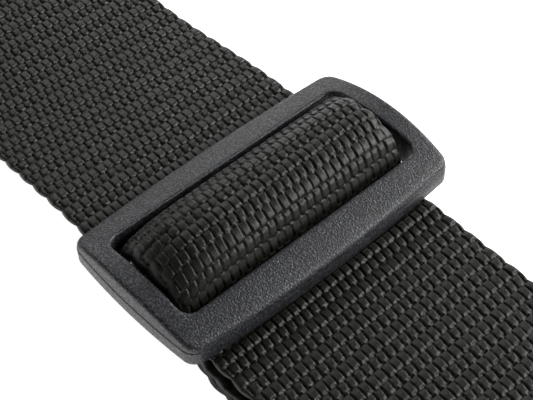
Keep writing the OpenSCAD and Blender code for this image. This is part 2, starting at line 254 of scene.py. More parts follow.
def row_of_floats(along, across, start, length, offset, shape):
    """Heights of one row of floats. Start and length are shares of a repeat, offset of a column."""
    phase = along / REPEAT - start
    row = np.floor(phase)
    u = (phase - row) / length
    shifted = across - shape["lean"] * (u - 0.5)
    column = np.round(shifted / COLUMN - offset)
    u = u * (1 + UNEVEN * chance(row, column, 0))
    w = shifted - (column + offset) * COLUMN - UNEVEN * chance(row, column, 1)
    inside = np.clip(u, 0, 1)
    half = shape["width"] / 2 * (1 - shape["taper"] * inside)
    left = soft_edge((half + w) / shape["left"])
    right = soft_edge((half - w) / (shape["right"][0] + shape["right"][1] * inside))
    from_left = soft_edge((w / shape["width"] + AHEAD_FROM) / AHEAD_OVER)
    ahead = soft_edge((1 - u) * length * REPEAT / (shape["ahead"][0] + shape["ahead"][1] * from_left))
    emerged = np.sin(np.pi / 2 * np.clip(u / EMERGED_BY, 0, 1))
    emerge = shape["emerge"] + (1 - shape["emerge"]) * emerged
    top = shape["crown"][0] + (shape["crown"][1] - shape["crown"][0]) * inside
    height = top * left * right * ahead * emerge * (1 + UNEVEN_HEIGHT * chance(row, column, 2))
    return np.where((u > 0) & (u < 1), height, 0)


FIRST_ROW = dict(width=1.72, lean=-0.08, left=0.10, right=(0.12, 0.50), ahead=(0.14, 0.26),
                 taper=0.0, emerge=0.62, crown=(0.88, 1.0))
SECOND_ROW = dict(width=1.72, lean=-0.36, left=0.20, right=(0.46, 0.10), ahead=(0.30, 0.20),
                  taper=0.02, emerge=0.30, crown=(0.92, 0.80))
KNOT_ALONG, KNOT_ACROSS = 0.02, 0.36
KNOT_LEAN = (0.75, 0.66)
KNOT_LENGTH, KNOT_WIDTH, KNOT_HEIGHT = 0.62, 0.27, 0.80


def weft_knots(along, across):
    """Heights of the small slanting knots between the rows."""
    row = np.round(along / REPEAT - KNOT_ALONG)
    column = np.round(across / COLUMN - KNOT_ACROSS)
    ds = along - (row + KNOT_ALONG) * REPEAT
    dv = across - (column + KNOT_ACROSS) * COLUMN
    lengthwise = (ds * KNOT_LEAN[0] + dv * KNOT_LEAN[1]) / KNOT_LENGTH
    crosswise = (dv * KNOT_LEAN[0] - ds * KNOT_LEAN[1]) / KNOT_WIDTH
    return KNOT_HEIGHT * np.sqrt(np.clip(1 - lengthwise ** 2 - crosswise ** 2, 0, 1))


def yarn_height(along, across):
    """Height of the woven surface, from 0 between the yarns to 1 on their crowns."""
    first = row_of_floats(along, across, start=0.04, length=0.53, offset=0.0, shape=FIRST_ROW)
    second = row_of_floats(along, across, start=0.52, length=0.52, offset=0.55, shape=SECOND_ROW)
    return np.maximum(np.maximum(first, second), weft_knots(along, across))


print("a column is", round(COLUMN, 3), "mm and a repeat", REPEAT, "mm")

# %% [markdown]
# ## From a flat grid to a band
#
# Each length of webbing starts as a grid. The grid is rolled round the band's cross section, so
# that its two long edges meet, then laid along its route, merged where it meets itself, and
# filled at its two ends. A cloth simulation isn't needed: webbing this heavy holds the curve
# that the slider gives it. A route is a function: for a distance along it, it gives the place of
# the band's middle line, the direction across the band, and the way its face looks.

# %% Follow a line of points in the X-Z plane
LOOK = 0.35


def smooth(u):
    """Rises from 0 to 1 with level ends."""
    v = np.clip(u, 0, 1)
    return v * v * (3 - 2 * v)


def arc(x, z, radius, start, end, step=3.0):
    """Points on an arc, with angles in degrees."""
    steps = max(2, int(abs(end - start) / step))
    a = np.radians(np.linspace(start, end, steps + 1))
    return [(x + radius * math.cos(t), z + radius * math.sin(t)) for t in a]


def flat_route(points, middle_y):
    """A route through X-Z points and its length. It looks a little ahead and back for its slope."""
    p = np.array(points, float)
    p = p[np.r_[True, np.linalg.norm(np.diff(p, axis=0), axis=1) > 1e-6]]
    far = np.r_[0, np.cumsum(np.linalg.norm(np.diff(p, axis=0), axis=1))]

    def at(s):
        x, z = np.interp(s, far, p[:, 0]), np.interp(s, far, p[:, 1])
        dx, dz = (np.interp(s + LOOK, far, p[:, i]) - np.interp(s - LOOK, far, p[:, i]) for i in (0, 1))
        n = np.hypot(dx, dz)
        place = np.stack([x, middle_y(x), z], -1)
        side = np.tile([0.0, 1.0, 0.0], (len(s), 1))
        up = np.stack([-dz / n, 0 * n, dx / n], -1)
        return place, side, up

    return at, far[-1]


print("a straight trial route is", flat_route([(0, 0), (10, 0)], lambda x: 0 * x)[1], "mm long")

# %% [markdown]
# The top of the band has the full relief of the yarns. The underside is seldom seen, so it has
# fewer points and less relief. The selvedges, the band's two woven edges, are round, and bulge a
# little where the cross yarn turns back.

# %% Roll a grid round the band's section
UNDERSIDE_RELIEF, EDGE_RELIEF = 0.45, 0.35
EDGE_CROWDING = 0.004
ROUND_EDGE = 0.95
SCALLOP, SCALLOP_REACH, SCALLOP_SHAPE = 0.42, 2.2, 0.7


def section(top_per_column, bottom_per_column):
    """Places across the band, top from left to right and then the underside back again."""
    top = np.linspace(-1, 1, int(round(COLUMNS * top_per_column)) + 1)
    under = np.linspace(1, -1, int(round(COLUMNS * bottom_per_column)) + 1)
    v = np.r_[top, under[1:]]
    v = HALF_WIDTH * ((1 - EDGE_CROWDING) * v + EDGE_CROWDING * np.sin(v * np.pi / 2))
    return v, np.r_[np.ones(len(top)), -np.ones(len(under) - 1)]


def edge_round(v):
    """Share of the full thickness left near a selvedge."""
    d = np.clip((np.abs(v) - (HALF_WIDTH - ROUND_EDGE)) / ROUND_EDGE, 0, 1)
    return np.sqrt(np.clip(1 - d ** 2, 0, 1))


def weave_band(name, at, s_from, s_to, phase=0.0, top=10, under=2, per_repeat=26, settle=None):
    """A closed woven band along a route, between two distances along it in millimetres.

    The weave starts at a phase, with top and under points to a column and per_repeat rows."""
    v, face = section(top, under)
    rows = max(2, int(round((s_to - s_from) / REPEAT * per_repeat)))
    start_clean()
    bpy.ops.mesh.primitive_grid_add(x_subdivisions=len(v) - 1, y_subdivisions=rows, size=1)
    web = bpy.context.active_object
    web.name = web.data.name = name
    s = np.repeat(np.linspace(s_from, s_to, rows + 1), len(v))
    v, face = np.tile(v, rows + 1), np.tile(face, rows + 1)
    place, side, up = at(s)
    woven = s + phase
    bulge = SCALLOP * np.abs(np.sin(np.pi * woven / REPEAT)) ** SCALLOP_SHAPE
    near_edge = smooth((np.abs(v) - HALF_WIDTH + SCALLOP_REACH) / SCALLOP_REACH)
    wide = v * (1 - SCALLOP / HALF_WIDTH) + np.sign(v) * bulge * near_edge
    h = np.where(face > 0, yarn_height(woven, v), yarn_height(woven + REPEAT / 2, -v))
    round_off = edge_round(v)
    relief = np.where(face > 0, 1.0, UNDERSIDE_RELIEF) * YARN_RISE
    lift = (PLY / 2 - relief * (1 - h) * (EDGE_RELIEF + (1 - EDGE_RELIEF) * round_off)) * round_off
    where = place + side * wide[:, None] + up * (face * lift)[:, None]
    if settle:
        where = settle(where, v)
    mesh = web.data
    mesh.vertices.foreach_set("co", (where * MM).astype(np.float32).ravel())
    crown = mesh.attributes.new("yarn_crown", "FLOAT", "POINT")
    crown.data.foreach_set("value", h.astype(np.float32))
    corner_vertex = np.zeros(len(mesh.loops), np.int32)
    mesh.loops.foreach_get("vertex_index", corner_vertex)
    round_the_band = np.where(face > 0, v, 2 * HALF_WIDTH + v)
    uv = np.stack([woven, round_the_band], -1)[corner_vertex] / 10
    mesh.uv_layers.active.name = "woven"
    mesh.uv_layers.active.data.foreach_set("uv", uv.astype(np.float32).ravel())
    close_band(web)
    return web


def close_band(web):
    """Merge the long seam, fill the two ends and turn the faces outwards."""
    bpy.ops.object.mode_set(mode="EDIT")
    bpy.ops.mesh.select_all(action="SELECT")
    bpy.ops.mesh.remove_doubles(threshold=1e-6)
    bpy.ops.mesh.select_mode(type="EDGE")
    bpy.ops.mesh.select_all(action="DESELECT")
    bpy.ops.mesh.select_non_manifold(extend=False, use_wire=False, use_multi_face=False,
                                     use_non_contiguous=False, use_verts=False)
    bpy.ops.mesh.fill_holes(sides=0)
    bpy.ops.mesh.select_all(action="SELECT")
    bpy.ops.mesh.normals_make_consistent(inside=False)
    bpy.ops.object.mode_set(mode="OBJECT")
    bpy.ops.object.shade_smooth()


print("points round the finest band", len(section(10, 2)[0]))

# %% [markdown]
# ## Finishes
#
# Four finishes cover the strap. Each is a tree of nodes that reads the piece's own coordinates.

# %% Helpers for node trees
def new_finish(name):
    """An empty principled material, with its tree and shader."""
    finish = bpy.data.materials.new(name)
    finish.use_nodes = True
    tree = finish.node_tree
    return finish, tree, tree.nodes["Principled BSDF"]


def add_node(tree, kind, values=(), **links):
    """A node with its plain values set; links give input name to output socket."""
    node = tree.nodes.new(kind)
    for key, value in dict(values).items():
        if key in node.inputs:
            node.inputs[key].default_value = value
        else:
            setattr(node, key, value)
    for key, socket in links.items():
        tree.links.new(socket, node.inputs[key.replace("_", " ")])
    return node


def add_ramp(tree, source, *stops):
    """A colour ramp through (place, colour) stops."""
    node = tree.nodes.new("ShaderNodeValToRGB")
    tree.links.new(source, node.inputs["Fac"])
    while len(node.color_ramp.elements) < len(stops):
        node.color_ramp.elements.new(0.5)
    for element, (place, colour) in zip(node.color_ramp.elements, stops):
        element.position = place
        element.color = (*colour, 1) if len(colour) == 3 else colour
    return node.outputs["Color"]


def multiplied(tree, first, second):
    """Two colours multiplied."""
    node = add_node(tree, "ShaderNodeMix", {"data_type": "RGBA", "blend_type": "MULTIPLY"})
    node.inputs[0].default_value = 1.0
    tree.links.new(first, node.inputs[6])
    tree.links.new(second, node.inputs[7])
    return node.outputs[2]


def roughen(tree, shader, height, low, high):
    """Roughness that follows a pattern between two (place, roughness) stops."""
    stops = [(place, grey(value)) for place, value in (low, high)]
    tree.links.new(add_ramp(tree, height, *stops), shader.inputs["Roughness"])


def raise_grain(tree, shader, height, strength, distance):
    """A bump that follows a pattern; the distance is in metres."""
    bump = add_node(tree, "ShaderNodeBump", {"Strength": strength, "Distance": distance}, Height=height)
    tree.links.new(bump.outputs["Normal"], shader.inputs["Normal"])


def grey(value):
    """A grey of one value."""
    return (value, value, value)


print("helpers for finishes are ready")

# %% [markdown]
# The webbing is spun from hundreds of fine filaments, nearly black with a warm cast. Each float
# has fine lines along it and a soft gloss. Shade is painted into the hollows between floats,
# which are darker than the crowns. The place along and round the band is in the band's own UV
# map, and the height of the yarn is an attribute, so the colour and the painted shade always
# follow the weave.

# %% Make the webbing's finish
webbing_finish, tree, shader = new_finish("webbing")
woven_place = add_node(tree, "ShaderNodeUVMap", {"uv_map": "woven"}).outputs["UV"]
crown_height = add_node(tree, "ShaderNodeAttribute", {"attribute_name": "yarn_crown"}).outputs["Fac"]
stretch = add_node(tree, "ShaderNodeMapping", {"Scale": (16, 70, 1)}, Vector=woven_place)
filaments = add_node(tree, "ShaderNodeTexNoise", {"Scale": 1.0, "Detail": 3.0, "Roughness": 0.6},
                     Vector=stretch.outputs["Vector"]).outputs["Fac"]
patches = add_node(tree, "ShaderNodeTexNoise", {"Scale": 5.0, "Detail": 3.0},
                   Vector=woven_place).outputs["Fac"]
# Painted shade: the yarn's colour falls to near black in the hollows between the floats, and the crowns keep
# its own dark tone.
painted_hollow_shade = add_ramp(tree, crown_height, (0.0, (0.0005, 0.0005, 0.0004)),
                     (0.25, (0.003, 0.003, 0.0024)), (0.5, (0.0092, 0.0094, 0.0066)))
by_filament = add_ramp(tree, filaments, (0.36, grey(0.5)), (0.64, grey(1.5)))
by_patch = add_ramp(tree, patches, (0.35, (0.80, 0.86, 0.74)), (0.65, (1.18, 1.14, 1.16)))
woven_colour = multiplied(tree, multiplied(tree, painted_hollow_shade, by_filament), by_patch)
tree.links.new(woven_colour, shader.inputs["Base Color"])
roughen(tree, shader, filaments, (0.36, 0.50), (0.64, 0.34))
shader.inputs["Specular IOR Level"].default_value = 0.40
raise_grain(tree, shader, filaments, 0.5, 0.0001)
print("webbing finish", len(tree.nodes), "nodes")

# %% [markdown]
# The slider and the ring are moulded from charcoal plastic in a mould with a fine spark texture:
# tiny pits that sparkle where the light grazes them. One fine noise gives the pits their relief,
# their gloss and their pale and dark flecks, and a broad one clouds the grey a little.

# %% Make the moulded plastic's finish
plastic_finish, tree, shader = new_finish("moulded_plastic")
place = add_node(tree, "ShaderNodeTexCoord").outputs["Object"]
grain = add_node(tree, "ShaderNodeTexNoise", {"Scale": 3000.0, "Detail": 2.0, "Roughness": 0.6},
                 Vector=place).outputs["Fac"]
clouds = add_node(tree, "ShaderNodeTexNoise", {"Scale": 160.0, "Detail": 3.0}, Vector=place).outputs["Fac"]
body_grey = add_ramp(tree, clouds, (0.3, (0.015, 0.0156, 0.0182)), (0.7, (0.020, 0.0207, 0.0236)))
fleck = add_ramp(tree, grain, (0.42, grey(0.2)), (0.52, grey(1.0)), (0.62, grey(4.4)))
tree.links.new(multiplied(tree, body_grey, fleck), shader.inputs["Base Color"])
roughen(tree, shader, grain, (0.35, 0.52), (0.65, 0.34))
shader.inputs["Specular IOR Level"].default_value = 0.6
raise_grain(tree, shader, grain, 0.8, 0.00015)
print("plastic finish", len(tree.nodes), "nodes")

# %% [markdown]
# The tabs are smooth black leather: a fine pebbled grain, a soft shine on the raised grain, and
# faint creases.

# %% Make the leather's finish
leather_finish, tree, shader = new_finish("leather")
place = add_node(tree, "ShaderNodeTexCoord").outputs["Object"]
pebbles = add_node(tree, "ShaderNodeTexVoronoi", {"feature": "SMOOTH_F1", "Scale": 1300.0}, Vector=place)
creases = add_node(tree, "ShaderNodeTexNoise", {"Scale": 220.0, "Detail": 6.0, "Roughness": 0.65},
                   Vector=place).outputs["Fac"]
hide = add_ramp(tree, creases, (0.3, (0.012, 0.011, 0.010)), (0.7, (0.024, 0.022, 0.020)))
tree.links.new(hide, shader.inputs["Base Color"])
roughen(tree, shader, creases, (0.3, 0.38), (0.7, 0.56))
grain_level = add_node(tree, "ShaderNodeMath", {"operation": "ADD"})
tree.links.new(pebbles.outputs["Distance"], grain_level.inputs[0])
tree.links.new(creases, grain_level.inputs[1])
raise_grain(tree, shader, grain_level.outputs["Value"], 0.4, 0.00012)
print("leather finish", len(tree.nodes), "nodes")

# %% [markdown]
# The thread is twisted and bonded, so it has slanting plies and a waxy shine.

# %% Make the thread's finish
thread_finish, tree, shader = new_finish("thread")
place = add_node(tree, "ShaderNodeTexCoord").outputs["Object"]
twist_look = {"Scale": 900.0, "Distortion": 1.5, "bands_direction": "DIAGONAL"}
twist = add_node(tree, "ShaderNodeTexWave", twist_look, Vector=place).outputs["Fac"]
tree.links.new(add_ramp(tree, twist, (0.2, grey(0.012)), (0.8, grey(0.038))), shader.inputs["Base Color"])
roughen(tree, shader, twist, (0.2, 0.55), (0.8, 0.35))
raise_grain(tree, shader, twist, 0.5, 0.0001)
print("thread finish", len(tree.nodes), "nodes")

# %% [markdown]
# Each piece is dressed in its finish. A length of webbing is also given its finish, and its
# length and count of triangles are printed.

# %% Dress a piece
def dress(piece, finish):
    """Give a piece its finish."""
    piece.data.materials.clear()
    piece.data.materials.append(finish)
    return piece


def lay_webbing(piece, length, *rests_on):
    """Give a length of webbing its finish and print its length and triangles."""
    dress(piece, webbing_finish)
    triangles = sum(len(p.vertices) - 2 for p in piece.data.polygons)
    print(piece.name, round(length, 1), "mm,", triangles, "triangles")


print("finishes:", *(m.name for m in bpy.data.materials))

# %% [markdown]
# ## The webbing through the slider
#
# The running webbing lies flat behind the slider, climbs onto it, dips under its far bar, arches
# over the centre bar and the loop sewn round it, and dips under the near bar. Then it runs on
# above the folded end. The arch is wider and flatter on top than a circle, because the stiff
# webbing wants to lie flat and the bars hold its legs upright.
#
# The strap doesn't cross the slider quite squarely: it is turned by a degree or two and lies
# against the left end of the slot.

# %% Lay the running webbing's route
FLAT = PLY / 2
CLEARANCE = 0.3
running_z = slider_base - CLEARANCE - PLY / 2
rear_start = rear_low[0] - slider_x
rear_join = rear_high[0] - slider_x
lead_join = sewn_high[0] - slider_x
bar_edge = 10.4
leg_x = 9.05
bend = bar_edge - leg_x
SIDE_SHIFT, STRAP_TURN = -0.75, -0.028
SQUARE_AGAIN, TURN_FADE = 118, 60


def strap_middle(x):
    """How far the strap's middle line lies to the side. It is square again far from the slider."""
    d = x - slider_x
    return (SIDE_SHIFT + STRAP_TURN * d) * smooth((SQUARE_AGAIN - np.abs(d)) / TURN_FADE)


arch_crown = over_high[2] - PLY / 2
arch_points = [
    (-leg_x, running_z + bend), (-9.15, 7.4), (-9.05, 8.8), (-8.55, 10.6), (-7.6, 12.5),
    (-6.2, 14.1), (-4.4, 15.35), (-2.3, 16.05), (-0.2, 16.3), (1.6, 16.33), (3.3, 16.1),
    (4.9, 15.5), (6.3, 14.6), (7.4, 13.4), (8.2, 11.9), (8.75, 10.2), (9.05, 8.5), (9.15, 7.3),
    (leg_x, running_z + bend),
]


def rounded(points, rounds=3):
    """Cut the corners of a line of points again and again, which leaves a smooth curve."""
    p = np.array(points, float)
    for _round in range(rounds):
        a, b = p[:-1] * 0.75 + p[1:] * 0.25, p[:-1] * 0.25 + p[1:] * 0.75
        p = np.concatenate([p[:1], np.stack([a, b], 1).reshape(-1, 2), p[-1:]])
    return p


def slope(x_from, x_to, z_from, z_to, step):
    """Points of a smooth rise or fall between two heights, without its first and last point."""
    return [(x, z_from + (z_to - z_from) * float(smooth((x - x_from) / (x_to - x_from))))
            for x in np.arange(x_from + step, x_to, step)]


CLIMB_FROM, CLIMB_TO = -62, -20
running_points = (
    [(rear_start, FLAT), (CLIMB_FROM, FLAT)] + slope(CLIMB_FROM, CLIMB_TO, FLAT, running_z, 0.5)
    + [(CLIMB_TO, running_z), (-bar_edge - 2, running_z)]
    + arc(-bar_edge, running_z + bend, bend, 270, 360)
    + [tuple(p) for p in rounded(arch_points)]
    + arc(bar_edge, running_z + bend, bend, 180, 270)
    + [(bar_edge + 2, running_z), (lead_join, running_z)]
)
ring_join = upper_high[0] - slider_x
ring_ply = box_mm("webbing_ring_turn")[1][2] - PLY / 2
running_points += slope(lead_join, ring_join, running_z, ring_ply, 1.0) + [(ring_join, ring_ply)]
running_points = [(x + slider_x, z) for x, z in running_points]
running, running_length = flat_route(running_points, strap_middle)


PAST_ARCH, BEFORE_ARCH = 9.8, 9.3


def distance_at(x, beyond_arch):
    """Distance along the webbing to an X from the slider, before the arch or beyond it."""
    s = np.linspace(0, running_length, 40000)
    place = running(s)[0][:, 0] - slider_x
    number = np.arange(len(s))
    if beyond_arch:
        allowed = number > np.argmax(place > PAST_ARCH)
    else:
        allowed = number < np.argmax(place > -BEFORE_ARCH)
    return float(s[np.argmin(np.where(allowed, np.abs(place - x), np.inf))])


print("running webbing", round(running_length, 1), "mm long")

# %% [markdown]
# The running webbing is woven in seven lengths, because its parts move differently. The arch
# rides on the slider, and the lengths before and after it are left where they lie. Near the
# slider the weave has its finest mesh, and further off a coarser one, which is enough there.

# %% Weave the running webbing
under_bar = slider_half_depth
FINE_FROM, FINE_TO = -90, 60
s_rear, s_near = distance_at(FINE_FROM, False), distance_at(rear_join, False)
s_in, s_out = distance_at(-under_bar, False), distance_at(under_bar, True)
s_lead, s_fine = distance_at(lead_join, True), distance_at(FINE_TO, True)
MIDDLING, COARSE = dict(top=6, under=2, per_repeat=14), dict(top=4, under=2, per_repeat=8)

rear_far = weave_band("woven_rear_run", running, 0, s_rear, **MIDDLING)
rear_near = weave_band("woven_rear_run_near", running, s_rear, s_near)
for piece, length in ((rear_far, s_rear), (rear_near, s_near - s_rear)):
    lay_webbing(piece, length, "floor")
    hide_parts("webbing_rear_run")
    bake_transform(piece)

climb_band = weave_band("woven_under_far_bar", running, s_near, s_in)
lay_webbing(climb_band, s_in - s_near, "slider_frame")
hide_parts("webbing_over_slider")
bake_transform(climb_band)

DROP_ACROSS = (-25, -24.4, -23.8, -23, -21, -18, -12, 0, 20, 23, 24.4, 25)
DROP = (5.0, 3.6, 2.8, 2.1, 1.3, 0.6, 0.1, 0, 0, 0.2, 0.7, 1.4)


def settle_arch(where, v):
    """The arch sinks towards its selvedges, most at the left end of the slot."""
    drop = np.interp(v, DROP_ACROSS, DROP)
    lower = where.copy()
    lower[:, 2] -= drop * np.clip((where[:, 2] - running_z) / (arch_crown - running_z), 0, None)
    return lower


arch_band = weave_band("woven_over_slider", running, s_in, s_out, settle=settle_arch)
lay_webbing(arch_band, s_out - s_in, "slider_frame")
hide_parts("webbing_over_slider")
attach(arch_band, "slider")

lead_band = weave_band("woven_under_near_bar", running, s_out, s_lead)
lay_webbing(lead_band, s_lead - s_out, "webbing_sewn_end")
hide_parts("webbing_over_slider")
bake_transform(lead_band)

upper_near = weave_band("woven_upper_run_near", running, s_lead, s_fine)
upper_far = weave_band("woven_upper_run", running, s_fine, running_length, **MIDDLING)
for piece, length in ((upper_near, s_fine - s_lead), (upper_far, running_length - s_fine)):
    lay_webbing(piece, length, "webbing_sewn_end")
    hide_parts("webbing_upper_run")
    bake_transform(piece)

# %% [markdown]
# ## The slider
#
# The slider is one moulding: two long bars that bow outwards, two short ends, and a centre bar.
# Its top is crowned along the strap, its edges are softly rounded, and a fine step round its
# side shows where the two halves of the mould met.
#
# A loop of points the shape of the outline is extruded ring by ring: up the outer wall, over the
# rounded edge, across the crowned top, down into the slot and back along the underside, where
# the last ring is merged into the first.

# %% Extrude a loop from ring to ring
def loft_rings(name, rings):
    """A closed solid from a list of rings of points in millimetres, each extruded from the last."""
    start_clean()
    bpy.ops.mesh.primitive_circle_add(vertices=len(rings[0]), radius=1, fill_type="NOTHING")
    solid = bpy.context.active_object
    solid.name = solid.data.name = name
    station = solid.data.attributes.new("station", "INT", "POINT")
    station.data.foreach_set("value", np.arange(len(rings[0]), dtype=np.int32))
    solid.data.vertices.foreach_set("co", (np.array(rings[0]) * MM).astype(np.float32).ravel())
    bpy.ops.object.mode_set(mode="EDIT")
    bpy.ops.mesh.select_mode(type="EDGE")
    bpy.ops.mesh.select_all(action="SELECT")
    for ring in list(rings[1:]) + [rings[0]]:
        bpy.ops.mesh.extrude_region_move()
        edit = bmesh.from_edit_mesh(solid.data)
        index = edit.verts.layers.int["station"]
        for vertex in edit.verts:
            if vertex.select:
                vertex.co = Vector(ring[vertex[index]]) * MM
        bmesh.update_edit_mesh(solid.data)
    bpy.ops.mesh.select_all(action="SELECT")
    bpy.ops.mesh.remove_doubles(threshold=1e-6)
    bpy.ops.mesh.normals_make_consistent(inside=False)
    bpy.ops.object.mode_set(mode="OBJECT")
    return solid


print("rings can be lofted")

# %% [markdown]
# The slider is the same to the left and the right and to the front and the back, so a quarter of
# it is drawn: a shallow bow for a long bar, a round corner, and a shallower bow for a short end.
# The slot is drawn with as many points, so each point of the outline has its partner there.

# %% Draw the slider's two outlines
def bow_radius(half_chord, bow):
    """Radius of the arc that rises by bow over half a chord."""
    return (half_chord ** 2 + bow ** 2) / (2 * bow)


LONG_BOW, SHORT_BOW, CORNER = 1.35, 1.0, 2.7
LONG_BAR_WIDTH, SHORT_END_WIDTH = 6.5, 4.3
EDGE_HEIGHT, SLOT_CORNER = 3.4, 2.3
SLOT_HALF = (slider_half_depth - LONG_BAR_WIDTH, slider_half_length - SHORT_END_WIDTH)
STEPS = (26, 10, 16)
long_radius = bow_radius(slider_half_length, LONG_BOW)
short_radius = bow_radius(slider_half_depth, SHORT_BOW)
crown_radius = bow_radius(slider_half_depth, slider_crown - EDGE_HEIGHT)
long_centre = slider_half_depth - long_radius
short_centre = slider_half_length - short_radius


def corner_centre():
    """Centre of the arc that joins a long bow to a short one."""
    a, b = long_radius - CORNER, short_radius - CORNER
    apart = math.hypot(long_centre, short_centre)
    along = (a * a - b * b + apart * apart) / (2 * apart)
    aside = math.sqrt(a * a - along * along)
    way = Vector((-long_centre, short_centre)) / apart
    return Vector((long_centre, 0)) + way * along + Vector((-way.y, way.x)) * aside


def quarter_outline():
    """Points and outward directions of a quarter of the slider's outline, from +X to +Y."""
    c = corner_centre()
    long_end = math.atan2(c.y, c.x - long_centre)
    short_end = math.atan2(c.y - short_centre, c.x)
    found = []
    for x, y, radius, start, end, steps in (
        (long_centre, 0, long_radius, 0, long_end, STEPS[0]),
        (c.x, c.y, CORNER, long_end, short_end, STEPS[1]),
        (0, short_centre, short_radius, short_end, math.pi / 2, STEPS[2]),
    ):
        for a in np.linspace(start, end, steps, endpoint=False):
            found.append((x + radius * math.cos(a), y + radius * math.sin(a), math.cos(a), math.sin(a)))
    return np.array(found)


def quarter_slot(half_x, half_y, radius, steps):
    """The same for a rectangle with rounded corners."""
    x, y = half_x - radius, half_y - radius
    found = [(half_x, v, 1, 0) for v in np.linspace(0, y, steps[0], endpoint=False)]
    found += [(x + radius * math.cos(a), y + radius * math.sin(a), math.cos(a), math.sin(a))
              for a in np.linspace(0, math.pi / 2, steps[1], endpoint=False)]
    found += [(v, half_y, 0, 1) for v in np.linspace(x, 0, steps[2], endpoint=False)]
    return np.array(found)


def quarter_top(quarter):
    """Where the quarter crosses the Y axis."""
    x, y, nx, ny = quarter[-1]
    return y + x * nx / ny if ny else y


def whole(quarter):
    """All four quarters of a symmetrical loop, in order round it."""
    second = (quarter[1:] * [-1, 1, -1, 1])[::-1]
    top = np.array([[0, quarter_top(quarter), 0, 1]])
    half = np.concatenate([quarter, top, second])
    return np.concatenate([half, -half])


outline = whole(quarter_outline())
slot_outline = whole(quarter_slot(*SLOT_HALF, SLOT_CORNER, STEPS))
print("points round the slider", len(outline), len(slot_outline))

# %% [markdown]
# The rings go up the outer wall, in by a hair's breadth where the halves of the mould met, over
# the rounded edge, across the crowned top and down into the slot. The underside is flat.

# %% Shape the slider
def crown_height_at(x):
    """Height of the crowned top above the slider's underside."""
    return slider_crown - crown_radius + np.sqrt(np.clip(crown_radius ** 2 - x ** 2, 0, None))


EDGE_ROUND, SLOT_ROUND, FOOT_ROUND, FOOT_MIDDLE = 0.75, 0.6, 0.35, 0.1
MOULD_STEP, STEP_RISE, PARTING, PARTING_BELOW_EDGE = 0.11, 0.1, 2.9, 0.25
SLOT_WALL_TOP, TOP_RINGS = 2.4, 7
QUARTER_TURN = np.radians([0, 22.5, 45, 67.5, 90])


def ring_at(loop, inset, height):
    """A ring inset from a loop; height is a number or a function of X."""
    xy = loop[:, :2] - loop[:, 2:] * inset
    z = height(xy[:, 0]) if callable(height) else np.full(len(xy), float(height))
    return np.column_stack([xy, z])


def parting_height(x):
    """Where the halves of the mould met."""
    return np.minimum(PARTING, crown_height_at(x) - EDGE_ROUND - PARTING_BELOW_EDGE)


slider_rings = [
    ring_at(outline, FOOT_ROUND, 0), ring_at(outline, FOOT_MIDDLE, FOOT_MIDDLE),
    ring_at(outline, 0, FOOT_ROUND), ring_at(outline, 0, parting_height),
    ring_at(outline, MOULD_STEP, lambda x: parting_height(x) + STEP_RISE),
]
slider_rings += [
    ring_at(outline, MOULD_STEP + EDGE_ROUND * (1 - math.cos(a)),
            lambda x, a=a: crown_height_at(x) - EDGE_ROUND * (1 - math.sin(a)))
    for a in QUARTER_TURN
]
top_from, top_to = slider_rings[-1], ring_at(slot_outline, -SLOT_ROUND, crown_height_at)
for share in np.linspace(0, 1, TOP_RINGS + 2)[1:-1]:
    ring = top_from * (1 - share) + top_to * share
    ring[:, 2] = crown_height_at(ring[:, 0])
    slider_rings.append(ring)
slider_rings += [
    ring_at(slot_outline, -SLOT_ROUND * (1 - math.cos(a)),
            lambda x, a=a: crown_height_at(x) - SLOT_ROUND * (1 - math.sin(a)))
    for a in QUARTER_TURN[::-1]
]
slider_rings += [
    ring_at(slot_outline, 0, SLOT_WALL_TOP), ring_at(slot_outline, 0, FOOT_ROUND),
    ring_at(slot_outline, -FOOT_MIDDLE, FOOT_MIDDLE), ring_at(slot_outline, -FOOT_ROUND, 0),
]
slider_rings.append((slider_rings[-1] + slider_rings[0]) / 2)
slider_rings = [ring + [slider_x, 0, slider_base] for ring in slider_rings]
slider = loft_rings("moulded_slider", slider_rings)
print("slider", len(slider.data.polygons), "faces")

# %% [markdown]
# The centre bar is round, and swells where it runs into the short ends. It is a cylinder, cut
# near its ends so that only the last stretch swells, and joined to the frame of the slider.

# %% Add the centre bar
BAR_RADIUS, BAR_SEAT = 2.0, 1.5
SWELL_START, SWELL_END, SWELL_ACROSS, SWELL_UP = 1.3, 0.1, 1.35, 1.2
slot_end = SLOT_HALF[1]
bar_z = slider_base + slider_crown / 2
start_clean()
bpy.ops.mesh.primitive_cylinder_add(vertices=32, radius=BAR_RADIUS * MM, depth=2 * (slot_end + BAR_SEAT) * MM,
                                    location=(slider_x * MM, 0, bar_z * MM), rotation=(math.pi / 2, 0, 0))
centre_bar = bpy.context.active_object
centre_bar.name = centre_bar.data.name = "centre_bar"
bpy.ops.object.transform_apply(location=True, rotation=True, scale=True)
bpy.ops.object.mode_set(mode="EDIT")
for cut in (-slot_end - SWELL_END, -slot_end + SWELL_START, slot_end - SWELL_START, slot_end + SWELL_END):
    bpy.ops.mesh.select_all(action="SELECT")
    bpy.ops.mesh.bisect(plane_co=(slider_x * MM, cut * MM, bar_z * MM), plane_no=(0, 1, 0))
bpy.ops.object.mode_set(mode="OBJECT")
for vertex in centre_bar.data.vertices:
    if abs(vertex.co.y) > slot_end * MM:
        vertex.co.x = slider_x * MM + (vertex.co.x - slider_x * MM) * SWELL_ACROSS
        vertex.co.z = bar_z * MM + (vertex.co.z - bar_z * MM) * SWELL_UP
start_clean()
centre_bar.select_set(True)
slider.select_set(True)
bpy.context.view_layer.objects.active = slider
bpy.ops.object.join()
bpy.ops.object.shade_smooth_by_angle(angle=math.radians(38))
dress(slider, plastic_finish)
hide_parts("slider_frame")
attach(slider, "slider")
print("slider with its bar", len(slider.data.polygons), "faces")

